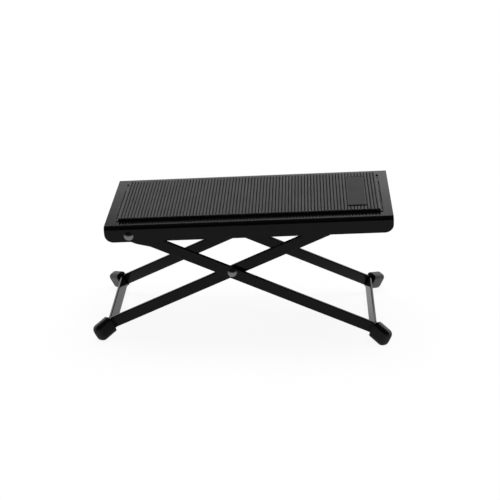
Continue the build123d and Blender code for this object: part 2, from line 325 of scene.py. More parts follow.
# Moulded natural rubber sheet: a dull, slightly dusty black with a fine pebble from the mould.
# The crests of the ribs, which shoes rub, keep a low sheen.
MAT_RUBBER = Finish(
    "moulded_mat_rubber",
    Slot.MAT_RUBBER,
    colour="#0f0f10",
    colour_drift="#141415",
    roughness=0.42,
    roughness_drift=0.05,
    grain_mm=0.45,
    relief_mm=0.015,
    cloud_mm=26.0,
    specular=0.62,
    dust_colour="#6b6b69",
    dust_mm=1.6,
    dust_share=0.08,
)

# The same rubber on the mat's plain panel: a flat that the mould left a little duller than the
# crests of the ribs.
PANEL_RUBBER = replace(MAT_RUBBER, name="smooth_panel_rubber", roughness=0.46, specular=0.33)

# The same rubber in the grooves and the moulded lines: rough and never rubbed, so the eye sees
# them darker than the crests.
GROOVE_RUBBER = replace(MAT_RUBBER, name="rough_groove_rubber", roughness=0.58, specular=0.34, dust_share=0.0)

# Injection-moulded rubber boots: a closer skin than the mat's, with the same dull sheen.
FOOT_RUBBER = Finish(
    "moulded_foot_rubber",
    Slot.FOOT_RUBBER,
    colour="#09090a",
    colour_drift="#0e0e0f",
    roughness=0.42,
    roughness_drift=0.05,
    grain_mm=0.4,
    relief_mm=0.015,
    cloud_mm=9.0,
    specular=0.45,
    dust_colour="#5d5d5b",
    dust_mm=1.2,
    dust_share=0.05,
)

# Nickel-plated steel rivets: a smooth dome, burnished by the rivet set, that mirrors the room.
RIVET_STEEL = Finish(
    "nickel_plated_rivet",
    Slot.RIVET_STEEL,
    colour="#adaba7",
    colour_drift="#a09e9b",
    roughness=0.28,
    roughness_drift=0.05,
    grain_mm=0.5,
    relief_mm=0.006,
    cloud_mm=3.0,
    metallic=1.0,
)

# Blackened steel pins: a dry, dark oxide with almost no sheen.
BLACK_OXIDE = Finish(
    "black_oxide_pin",
    Slot.POWDER_COAT,
    colour="#0a0a0a",
    colour_drift="#0f0f0f",
    roughness=0.62,
    roughness_drift=0.05,
    grain_mm=0.4,
    relief_mm=0.008,
    cloud_mm=2.0,
    specular=0.12,
)

# Bright zinc plate on a drawn rod: pale, faintly blue, with soft handling marks.
ROD_STEEL = Finish(
    "zinc_plated_rod",
    Slot.ROD_STEEL,
    colour="#a9abae",
    colour_drift="#969a9f",
    roughness=0.34,
    roughness_drift=0.08,
    grain_mm=0.35,
    relief_mm=0.008,
    cloud_mm=5.0,
    metallic=1.0,
)

# Black nylon washers, punched from sheet: an even dark plastic with a low sheen.
NYLON = Finish(
    "black_nylon",
    Slot.NYLON,
    colour="#0f0f0f",
    colour_drift="#131313",
    roughness=0.48,
    roughness_drift=0.04,
    grain_mm=0.5,
    relief_mm=0.008,
    cloud_mm=4.0,
)


# Modelling by operators


@dataclass(frozen=True)
class Rounding:
    """How edges are rounded: the width in millimetres, and the segments."""

    width_mm: float
    segments: int


class Bench:
    """The modelling steps that every new piece shares, done with operators as by hand.

    Corners closer than merge_mm are merged, and faces that turn by less than flat_deg are one
    flat face. flat_weight is how much the shading follows the larger faces, of 100.
    """

    merge_mm = 0.002
    flat_deg = 0.4
    flat_weight = 80

    @staticmethod
    def only(piece: bpy.types.Object) -> None:
        """Selects one object and makes it active.

        Args:
            piece: The object.
        """
        bpy.ops.object.select_all(action="DESELECT")
        piece.select_set(True)
        bpy.context.view_layer.objects.active = piece

    @staticmethod
    def box(name: str, low: Vector, high: Vector) -> bpy.types.Object:
        """Adds a cube primitive at its size and place.

        Args:
            name: The piece's name.
            low: Its lowest corner, in metres.
            high: Its highest corner.

        Returns:
            The new object, with its size and place in its mesh.
        """
        bpy.ops.object.select_all(action="DESELECT")
        bpy.ops.mesh.primitive_cube_add(size=1.0, location=(low + high) / 2)
        piece = bpy.context.object
        piece.name = piece.data.name = name
        piece.scale = high - low
        bpy.ops.object.transform_apply(location=True, rotation=True, scale=True)
        return piece

    @staticmethod
    def duplicate(source: bpy.types.Object, name: str) -> bpy.types.Object:
        """Copies an object, with a mesh of its own.

        Args:
            source: The object to copy.
            name: The copy's name.

        Returns:
            The copy.
        """
        piece = bpy.data.objects.new(name, source.data.copy())
        piece.data.name = name
        bpy.context.scene.collection.objects.link(piece)
        return piece

    @staticmethod
    def clean_copy(node: bpy.types.Object, name: str) -> bpy.types.Object:
        """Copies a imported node, merges its doubles and makes its flat faces whole.

        Args:
            node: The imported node.
            name: The copy's name.

        Returns:
            The copy.
        """
        piece = Bench.duplicate(node, name)
        with Bench.picked(piece, Element.FACE):
            bpy.ops.mesh.remove_doubles(threshold=Bench.merge_mm * MM)
            bpy.ops.mesh.dissolve_limited(angle_limit=math.radians(Bench.flat_deg))
        if piece.data.has_custom_normals:
            bpy.ops.mesh.customdata_custom_splitnormals_clear()
        return piece

    @staticmethod
    @contextmanager
    def picked(
        piece: bpy.types.Object, kind: Element, test: Callable[..., bool] | None = None
    ) -> Iterator[None]:
        """Holds a piece in edit mode with only the faces or edges that pass a test selected.

        Args:
            piece: The piece to edit.
            kind: Whether faces or edges are tested.
            test: True for a face or an edge to select. Without it, all are selected.

        Yields:
            Nothing. The piece is in edit mode until the block ends.
        """
        Bench.only(piece)
        bpy.ops.object.mode_set(mode="EDIT")
        bpy.ops.mesh.select_mode(type=kind.value)
        bpy.ops.mesh.select_all(action="DESELECT")
        mesh = bmesh.from_edit_mesh(piece.data)
        mesh.normal_update()
        elements = mesh.faces if kind is Element.FACE else mesh.edges
        for element in [e for e in elements if test is None or test(e)]:
            element.select = True
        bmesh.update_edit_mesh(piece.data)
        yield
        bpy.ops.object.mode_set(mode="OBJECT")

    @staticmethod
    def round_edges(
        piece: bpy.types.Object, test: Callable[[bmesh.types.BMEdge], bool], rounding: Rounding
    ) -> None:
        """Rounds the edges that pass a test.

        Args:
            piece: The piece.
            test: True for an edge to round.
            rounding: The rounding.
        """
        with Bench.picked(piece, Element.EDGE, test):
            bpy.ops.mesh.bevel(
                offset=rounding.width_mm * MM, segments=rounding.segments, profile=0.5, clamp_overlap=True
            )

    @staticmethod
    def soften(piece: bpy.types.Object, rounding: Rounding, hard_deg: float) -> None:
        """Rounds all of a piece's hard edges with an applied bevel.

        Args:
            piece: The piece.
            rounding: The rounding.
            hard_deg: Edges sharper than this are rounded.
        """
        Bench.only(piece)
        bevel = piece.modifiers.new("edges", "BEVEL")
        bevel.width = rounding.width_mm * MM
        bevel.segments = rounding.segments
        bevel.limit_method = "ANGLE"
        bevel.angle_limit = math.radians(hard_deg)
        bevel.miter_outer = "MITER_ARC"
        bpy.ops.object.modifier_apply(modifier=bevel.name)

    @staticmethod
    def smooth(piece: bpy.types.Object, angle_deg: float) -> None:
        """Shades a piece smooth up to an angle, with its large flat faces kept flat.

        Args:
            piece: The piece.
            angle_deg: Edges up to this angle are shaded smooth.
        """
        Bench.only(piece)
        bpy.ops.object.shade_smooth_by_angle(angle=math.radians(angle_deg))
        flat = piece.modifiers.new("flat_faces", "WEIGHTED_NORMAL")
        flat.keep_sharp = True
        flat.weight = Bench.flat_weight
        bpy.ops.object.modifier_apply(modifier=flat.name)

    @staticmethod
    def place(piece: bpy.types.Object, where: Matrix) -> None:
        """Moves a piece's mesh to its place and leaves its object at the origin.

        Args:
            piece: The piece.
            where: The move, as a matrix.
        """
        Bench.only(piece)
        piece.matrix_world = where
        bpy.ops.object.transform_apply(location=True, rotation=True, scale=True)


def settle(piece: bpy.types.Object, body: Body, finish: Finish, stands_for: str) -> None:
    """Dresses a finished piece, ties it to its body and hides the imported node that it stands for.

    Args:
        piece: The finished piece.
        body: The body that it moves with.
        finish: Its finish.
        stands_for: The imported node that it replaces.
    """
    finish.dress(piece)
    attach(piece, body.value)
    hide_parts(stands_for)
    LOG.info("%s: %d faces, on %s", piece.name, len(piece.data.polygons), body.value)


def dress_nodes(nodes: dict[str, bpy.types.Object], finishes: dict[str, Finish]) -> None:
    """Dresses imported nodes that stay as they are.

    Args:
        nodes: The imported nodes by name.
        finishes: The finish of each node to dress, by its name.
    """
    for name, finish in finishes.items():
        finish.dress(nodes[name])
        LOG.info("%s: packed solid in %s", name, finish.name)


# Axes read from the frame


def near(one: float, other: float) -> bool:
    """True for two measures that are the same but for rounding."""
    return abs(one - other) < NEAR


def middle(node: str) -> Vector:
    """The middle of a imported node's box."""
    low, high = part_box(node)
    return (low + high) / 2


def extent(node: bpy.types.Object, axes: Matrix) -> tuple[Vector, Vector]:
    """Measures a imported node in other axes.

    Args:
        node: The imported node.
        axes: The axes, as a matrix to the row frame.

    Returns:
        Its lowest and highest corner in those axes.
    """
    inverse = axes.inverted()
    points = [inverse @ v.co for v in node.data.vertices]
    low = Vector([min(p[i] for p in points) for i in range(3)])
    high = Vector([max(p[i] for p in points) for i in range(3)])
    return low, high


@dataclass(frozen=True)
class Axes:
    """A piece's own axes in the stored pose: an origin, and X along the piece, Y to the back."""

    origin: Vector
    along: Vector

    @property
    def matrix(self) -> Matrix:
        """The matrix from the piece's own coordinates to the row frame's.

        Returns:
            The matrix.
        """
        across = Vector((0.0, 1.0, 0.0))
        out = self.along.cross(across).normalized()
        turn = Matrix((self.along, across, out)).transposed().to_4x4()
        return Matrix.Translation(self.origin) @ turn


@dataclass(frozen=True)
class Linkage:
    """The mechanism's pivots and directions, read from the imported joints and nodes."""

    tread_pivot: Vector
    cross_pivot: Vector

    @classmethod
    def read(cls, joints: list[dict]) -> Linkage:
        """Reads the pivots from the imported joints."""
        places = {joint["name"]: Vector(joint["pos_m"]) for joint in joints}
        return cls(places["tread_hinge"], places["cross_hinge"])

    @property
    def tread(self) -> Axes:
        """The tread's axes: from the rivets along the tread."""
        return Axes(self.tread_pivot, (middle("mat_pin_right") - middle("mat_pin_left")).normalized())

    @property
    def outer(self) -> Axes:
        """The outer frame's axes: from the cross pivot towards its feet."""
        return Axes(self.cross_pivot, (self.cross_pivot - self.tread_pivot).normalized())

    @property
    def inner(self) -> Axes:
        """The inner frame's axes: from the cross pivot towards its feet.

        Returns:
            The axes.
        """
        rod = middle("lock_rod")
        down = Vector((self.cross_pivot.x - rod.x, 0.0, self.cross_pivot.z - rod.z))
        return Axes(self.cross_pivot, down.normalized())


# The tread


@dataclass
class Tread:
    """The bent sheet tread, its rack rails, rivets, washers and mat pins."""

    nodes: dict[str, bpy.types.Object]
    edge: Rounding = Rounding(0.35, 2)
    hard_deg: float = 40.0
    smooth_deg: float = 35.0

    def build(self) -> None:
        """Softens the sheets' cut edges and dresses the rest."""
        for name in ("tread_plate", "rack_rail_front", "rack_rail_rear"):
            piece = Bench.clean_copy(self.nodes[name], name + "_coated")
            Bench.soften(piece, self.edge, self.hard_deg)
            Bench.smooth(piece, self.smooth_deg)
            settle(piece, Body.TREAD, POWDER_COAT, name)
        dress_nodes(
            self.nodes,
            {
                "tread_rivet_front": RIVET_STEEL,
                "tread_rivet_rear": RIVET_STEEL,
                "tread_washer_front": NYLON,
                "tread_washer_rear": NYLON,
                "mat_pin_left": BLACK_OXIDE,
                "mat_pin_right": BLACK_OXIDE,
            },
        )


@dataclass
class RibbedMat:
    """The rubber mat: a thin base, cross ribs cut square at their ends, and a smooth panel.

    The panel fills the place of some ribs near the open end and stands free of those in front of
    it and behind it. A shallow moulded line runs down each plain border. The mat is modelled in
    the tread's own axes, where columns run along the tread and rows across it. Fields in pairs
    are for the front and the back.
    """

    node: bpy.types.Object
    axes: Axes
    lip_mm: float = 0.6
    base_mm: float = 2.0
    border_mm: float = 3.2
    pitch_mm: float = 3.216
    rib_mm: float = 2.1
    panel_pitches: int = 6
    panel_ribs: int = 4
    panel_margins_mm: tuple[float, float] = (11.5, 13.6)
    panel_gaps_mm: tuple[float, float] = (3.0, 1.0)
    panel_least_mm2: float = 400.0
    line_edge_mm: float = 0.35
    line_width_mm: float = 1.3
    line_depth_mm: float = 0.5
    line_margins_mm: tuple[float, float] = (3.2, 21.9)
    long_edge_mm: float = 2.0
    corner: Rounding = Rounding(2.7, 5)
    crown: Rounding = Rounding(0.66, 4)
    groove: Rounding = Rounding(0.56, 3)
    line_bottom: Rounding = Rounding(0.45, 2)
    rim: Rounding = Rounding(0.2, 2)
    flat_deg: float = 0.5
    smooth_deg: float = 50.0
    low: Vector = field(init=False)
    high: Vector = field(init=False)

    def __post_init__(self) -> None:
        """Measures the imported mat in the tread's axes."""
        self.low, self.high = extent(self.node, self.axes.matrix)

    @property
    def lip_top(self) -> float:
        """The height of the plain borders."""
        return self.low.z + self.lip_mm * MM

    @property
    def base_top(self) -> float:
        """The height of the grooves between the ribs."""
        return self.low.z + self.base_mm * MM

    @property
    def line_floor(self) -> float:
        """The height of the bottom of a moulded line."""
        return self.lip_top - self.line_depth_mm * MM

    def build(self) -> None:
        """Models the mat from a thin sheet, with its ribs and its panel pulled up from it."""
        piece = self._sheet()
        for test, start, end in (
            (self._is_line, self.lip_top, self.line_floor),
            (self._is_thick, self.lip_top, self.base_top),
            (self._is_raised, self.base_top, self.high.z),
        ):
            with Bench.picked(piece, Element.FACE, test):
                bpy.ops.mesh.extrude_region_move(TRANSFORM_OT_translate={"value": (0, 0, end - start)})
        with Bench.picked(piece, Element.FACE):
            bpy.ops.mesh.dissolve_limited(angle_limit=math.radians(self.flat_deg))
        for test, rounding in (
            (self._at_corner, self.corner),
            (self._at_crown, self.crown),
            (self._at_groove, self.groove),
            (self._at_line, self.line_bottom),
            (self._at_rim, self.rim),
        ):
            Bench.round_edges(piece, test, rounding)
        Bench.smooth(piece, self.smooth_deg)
        panel, sunk = self._panel_faces(piece), self._sunk_faces(piece)
        Bench.place(piece, self.axes.matrix)
        settle(piece, Body.TREAD, MAT_RUBBER, self.node.name)
        PANEL_RUBBER.dress_faces(piece, panel)
        GROOVE_RUBBER.dress_faces(piece, sunk)

    @property
    def ribs(self) -> list[tuple[float, float]]:
        """Where each rib starts and ends along the tread.

        Returns:
            The two places of each rib, from the hinged end.
        """
        border, pitch, rib = (v * MM for v in (self.border_mm, self.pitch_mm, self.rib_mm))
        room = self.high.x - self.low.x - 2 * border - rib
        count = int(room / pitch) + 1
        first = self.low.x + border + (room - (count - 1) * pitch) / 2
        return [(first + i * pitch, first + i * pitch + rib) for i in range(count)]

    @property
    def panel_columns(self) -> tuple[float, float]:
        """Where the panel starts and ends along the tread."""
        ribs = self.ribs[: -self.panel_ribs]
        return ribs[-self.panel_pitches][0], ribs[-1][1]

    @property
    def lines(self) -> list[tuple[float, float]]:
        """Where the two moulded lines start and end along the tread."""
        edge, end = self.line_edge_mm * MM, (self.line_edge_mm + self.line_width_mm) * MM
        return [(self.low.x + edge, self.low.x + end), (self.high.x - end, self.high.x - edge)]

    def _rows(
        self, margins_mm: tuple[float, float], gaps_mm: tuple[float, float] = (0.0, 0.0)
    ) -> tuple[float, float]:
        """Where a form starts and ends across the tread, from its margins less its gaps."""
        (front, back), (front_gap, back_gap) = margins_mm, gaps_mm
        return self.low.y + (front - front_gap) * MM, self.high.y - (back - back_gap) * MM

    def _sheet(self) -> bpy.types.Object:
        """Makes the thin sheet from a grid whose lines run along the outlines of all forms.

        Returns:
            The sheet, as thick as the plain borders.
        """
        columns = sorted([self.low.x, self.high.x, *(x for pair in self.ribs + self.lines for x in pair)])
        panel, clear, line = (
            self._rows(self.panel_margins_mm),
            self._rows(self.panel_margins_mm, self.panel_gaps_mm),
            self._rows(self.line_margins_mm),
        )
        halfway = (line[1] + panel[1]) / 2  # steadies the later merge of flat faces
        rows = sorted([self.low.y, self.high.y, halfway, *panel, *clear, *line])
        bpy.ops.object.select_all(action="DESELECT")
        bpy.ops.mesh.primitive_grid_add(
            x_subdivisions=len(columns) - 1, y_subdivisions=len(rows) - 1, size=2.0
        )
        piece = bpy.context.object
        piece.name = piece.data.name = "ribbed_mat"
        for vertex in piece.data.vertices:
            column = round((vertex.co.x + 1) / 2 * (len(columns) - 1))
            row = round((vertex.co.y + 1) / 2 * (len(rows) - 1))
            vertex.co = (columns[column], rows[row], self.lip_top)
        wall = piece.modifiers.new("borders", "SOLIDIFY")
        wall.thickness = self.lip_mm * MM
        wall.offset = -1.0
        bpy.ops.object.modifier_apply(modifier=wall.name)
        return piece

    def _inside(self, face: bmesh.types.BMFace, columns: Iterable[tuple[float, float]]) -> bool:
        """True for an upper face whose middle lies in one of some columns."""
        at = face.calc_center_median()
        return face.normal.z > FACING and any(start < at.x < end for start, end in columns)

    def _is_raised(self, face: bmesh.types.BMFace) -> bool:
        """True for a face on top of a rib, or of the panel.

        Args:
            face: The face.

        Returns:
            Whether it is raised.
        """
        across = face.calc_center_median().y
        start, end = self._rows(self.panel_margins_mm, self.panel_gaps_mm)
        if self._inside(face, [self.panel_columns]) and start < across < end:
            start, end = self._rows(self.panel_margins_mm)
            return start < across < end
        return self._inside(face, self.ribs)

    def _is_thick(self, face: bmesh.types.BMFace) -> bool:
        """True for a face between the two borders."""
        return self._inside(face, [(self.ribs[0][0], self.ribs[-1][1])])

    def _is_line(self, face: bmesh.types.BMFace) -> bool:
        """True for a face in the moulded line of a border."""
        start, end = self._rows(self.line_margins_mm)
        return self._inside(face, self.lines) and start < face.calc_center_median().y < end

    def _at_corner(self, edge: bmesh.types.BMEdge) -> bool:
        """True for an upright edge at a corner of the mat.

        Args:
            edge: The edge.

        Returns:
            Whether it is such an edge.
        """
        at, other = (v.co for v in edge.verts)
        end = near(at.x, self.low.x) or near(at.x, self.high.x)
        side = near(at.y, self.low.y) or near(at.y, self.high.y)
        return end and side and near(at.x, other.x) and near(at.y, other.y)

    def _at_crown(self, edge: bmesh.types.BMEdge) -> bool:
        """True for a long edge on top of a rib or of the panel."""
        ends = [v.co for v in edge.verts]
        return all(near(end.z, self.high.z) for end in ends) and near(ends[0].x, ends[1].x)

    def _at_groove(self, edge: bmesh.types.BMEdge) -> bool:
        """True for a long edge at the bottom of a groove.

        Args:
            edge: The edge.

        Returns:
            Whether it is such an edge.
        """
        ends = [v.co for v in edge.verts]
        level = all(near(end.z, self.base_top) for end in ends) and near(ends[0].x, ends[1].x)
        return level and edge.calc_length() > self.long_edge_mm * MM and not edge.is_convex

    def _at_line(self, edge: bmesh.types.BMEdge) -> bool:
        """True for a long edge at the bottom of a moulded line."""
        level = all(near(v.co.z, self.line_floor) for v in edge.verts)
        return level and edge.calc_length() > self.long_edge_mm * MM

    def _at_rim(self, edge: bmesh.types.BMEdge) -> bool:
        """True for an outer edge on top of a border.

        Args:
            edge: The edge.

        Returns:
            Whether it is such an edge.
        """
        start, end = self.low.x + self.border_mm * MM, self.high.x - self.border_mm * MM
        level = all(near(v.co.z, self.lip_top) and not start <= v.co.x <= end for v in edge.verts)
        walls = [f for f in edge.link_faces if abs(f.normal.z) < ASIDE]
        return level and any(f.calc_center_median().z < self.lip_top for f in walls)

    def _panel_faces(self, piece: bpy.types.Object) -> list[int]:
        """The panel's flat top, which is far larger than a rib's."""
        top = [f for f in piece.data.polygons if near(f.center.z, self.high.z)]
        return [f.index for f in top if f.area > self.panel_least_mm2 * MM * MM]

    def _sunk_faces(self, piece: bpy.types.Object) -> list[int]:
        """The faces in the grooves between the ribs and in the moulded lines.

        Args:
            piece: The mat.

        Returns:
            Their numbers.
        """
        reach = self.base_top + self.groove.width_mm * MM
        found = []
        for face in piece.data.polygons:
            at = face.center
            in_groove = self.base_top - NEAR < at.z < reach
            in_line = self.low.z + NEAR < at.z < self.lip_top - NEAR and any(
                start - NEAR < at.x < end + NEAR for start, end in self.lines
            )
            if face.normal.z > -ASIDE and (in_groove or in_line):
                found.append(face.index)
        return found


# The leg frames


@dataclass
class LegFrame:
    """One U-shaped frame of flat strip with rolled edges, with the hardware that it carries.

    strip_mm is the strip's width, broken_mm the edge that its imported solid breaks, and rolled_mm
    the shallow round that a rolled strip has there.
    """

    nodes: dict[str, bpy.types.Object]
    name: str
    axes: Axes
    body: Body
    hardware: dict[str, Finish] = field(default_factory=dict)
    strip_mm: float = 12.0
    broken_mm: float = 0.4
    rolled_mm: float = 1.0
    edge: Rounding = Rounding(0.3, 2)
    hard_deg: float = 38.0
    smooth_deg: float = 20.5

    def build(self) -> None:
        """Rolls the strip's long edges, softens its ends and dresses the hardware."""
        piece = Bench.clean_copy(self.nodes[self.name], self.name + "_coated")
        self._roll_edges(piece)
        Bench.soften(piece, self.edge, self.hard_deg)
        Bench.smooth(piece, self.smooth_deg)
        settle(piece, self.body, POWDER_COAT, self.name)
        dress_nodes(self.nodes, self.hardware)

    def _roll_edges(self, piece: bpy.types.Object) -> None:
        """Widens the strip's broken edges on its faces, to the shallow round of a rolled strip.

        Args:
            piece: The frame.
        """
        reach = 3 * NEAR
        level = (self.strip_mm / 2 - self.broken_mm) * MM
        Bench.place(piece, self.axes.matrix.inverted())
        for hand in (-1, 1):
            with Bench.picked(
                piece, Element.EDGE, lambda e: all(abs(hand * v.co.z - level) < reach for v in e.verts)
            ):
                bpy.ops.transform.translate(value=(0, 0, hand * (self.broken_mm - self.rolled_mm) * MM))
        Bench.place(piece, self.axes.matrix)


@dataclass(frozen=True)
class Foot:
    """A foot corner: its packed boot, its leg frame's axes and body, and its side of the frame."""

    node: bpy.types.Object
    leg: Axes
    body: Body
    side: Side

    @property
    def axes(self) -> Matrix:
        """The boot's directions: X from its mouth to its tip, Z square to the leg frame's plane.

        Returns:
            The matrix from the boot's own coordinates to the row frame's.
        """
        frame = self.leg.matrix.to_3x3()
        along = (frame @ Vector((1.0, self.side.value, 0.0))).normalized()
        normal = frame @ Vector((0.0, 0.0, 1.0))
        return Matrix((along, normal.cross(along), normal)).transposed().to_4x4()

    @property
    def box(self) -> tuple[Vector, Vector]:
        """The whole boot's corners in its own coordinates, as if the floor had not cut it.

        Returns:
            Its lowest and its highest corner.
        """
        low, high = extent(self.node, self.axes)
        low.z = 2 * (self.axes.inverted() @ self.leg.origin).z - high.z
        return low, high


@dataclass
class Boots:
    """The rubber boots on the foot ears: rounded boxes with a blunt round tip and a hollow mouth.

    tip_mm is how far the tip's round reaches along, across and square to the leg frame.
    """

    feet: list[Foot]
    edge: Rounding = Rounding(4.1, 6)
    tip_mm: tuple[float, float, float] = (5.8, 5.3, 6.2)
    tip_rings: int = 6
    wall_mm: float = 2.3
    mouth_mm: float = 3.0
    lip: Rounding = Rounding(0.6, 3)
    smooth_deg: float = 60.0

    def build(self) -> None:
        """Models one boot, then puts a copy on each foot corner and grounds it at the floor."""
        low, high = self.feet[0].box
        pattern = self._model(low, high)
        for foot in self.feet:
            piece = Bench.duplicate(pattern, foot.node.name + "_boot")
            Bench.place(piece, foot.axes @ Matrix.Translation(foot.box[0] - low))
            self._ground(piece)
            settle(piece, foot.body, FOOT_RUBBER, foot.node.name)
        bpy.data.meshes.remove(pattern.data)  # the pattern's object goes with its mesh

    def _model(self, low: Vector, high: Vector) -> bpy.types.Object:
        """Models a whole boot in its own coordinates.

        Args:
            low: Its lowest corner.
            high: Its highest corner.

        Returns:
            The boot.
        """
        neck = Vector((high.x - self.tip_mm[0] * MM, high.y, high.z))
        piece = Bench.box("boot_pattern", low, neck)
        Bench.round_edges(piece, lambda e: not near(e.verts[0].co.x, e.verts[1].co.x), self.edge)
        self._round_tip(piece, low, neck)
        self._hollow(piece, low)
        Bench.smooth(piece, self.smooth_deg)
        return piece

    def _round_tip(self, piece: bpy.types.Object, low: Vector, neck: Vector) -> None:
        """Pulls the tip out in rings that narrow along a quarter round.

        Args:
            piece: The boot so far, which ends flat at the neck.
            low: The boot's lowest corner.
            neck: The highest corner where the tip begins.
        """
        length, across, upright = (v * MM for v in self.tip_mm)
        half, centre = (neck - low) / 2, (neck + low) / 2
        at, width, height = 0.0, half.y, half.z
        for ring in range(1, self.tip_rings + 1):
            turn = math.pi / 2 * ring / self.tip_rings
            reach = length * math.sin(turn)
            next_width = half.y - across * (1 - math.cos(turn))
            next_height = half.z - upright * (1 - math.cos(turn))
            level = neck.x + at
            with Bench.picked(
                piece, Element.FACE, lambda f: f.normal.x > FACING and near(f.calc_center_median().x, level)
            ):
                bpy.ops.mesh.extrude_region_move(TRANSFORM_OT_translate={"value": (reach - at, 0, 0)})
                bpy.ops.transform.resize(
                    value=(1.0, next_width / width, next_height / height),
                    center_override=(neck.x + reach, centre.y, centre.z),
                )
            at, width, height = reach, next_width, next_height

    def _hollow(self, piece: bpy.types.Object, low: Vector) -> None:
        """Opens the mouth: an inset wall, a hollow pushed in, and a rounded lip.

        Args:
            piece: The boot.
            low: Its lowest corner, where its mouth is.
        """
        with Bench.picked(
            piece, Element.FACE, lambda f: f.normal.x < -FACING and near(f.calc_center_median().x, low.x)
        ):
            bpy.ops.mesh.inset(thickness=self.wall_mm * MM, depth=0)
            bpy.ops.mesh.extrude_region_move(TRANSFORM_OT_translate={"value": (self.mouth_mm * MM, 0, 0)})

        def is_lip(edge: bmesh.types.BMEdge) -> bool:
            """True for an edge round the mouth, inside or outside."""
            level = all(near(v.co.x, low.x) for v in edge.verts)
            return level and any(abs(f.normal.x) < ASIDE for f in edge.link_faces)

        Bench.round_edges(piece, is_lip, self.lip)

    def _ground(self, piece: bpy.types.Object) -> None:
        """Cuts the boot at the floor, where it stands on a small flat."""
        with Bench.picked(piece, Element.FACE):
            bpy.ops.mesh.bisect(plane_co=(0, 0, 0), plane_no=(0, 0, 1), use_fill=True, clear_inner=True)


# The studio


@dataclass(frozen=True)
class Softbox:
    """A rectangular studio lamp that reflections don't show."""

    name: str
    place: tuple[float, float, float]
    aim: tuple[float, float, float]
    width: float
    height: float
    power: float

    def build(self) -> None:
        """Hangs the lamp and points it at its aim."""
        lamp = bpy.data.lights.new(self.name, "AREA")
        lamp.shape = "RECTANGLE"
        lamp.size, lamp.size_y = self.width, self.height
        lamp.energy = self.power
        holder = bpy.data.objects.new(self.name, lamp)
        holder.location = self.place
        direction = Vector(self.aim) - Vector(self.place)
        holder.rotation_euler = direction.to_track_quat("-Z", "Y").to_euler()
        holder.visible_glossy = False
        bpy.context.scene.collection.objects.link(holder)


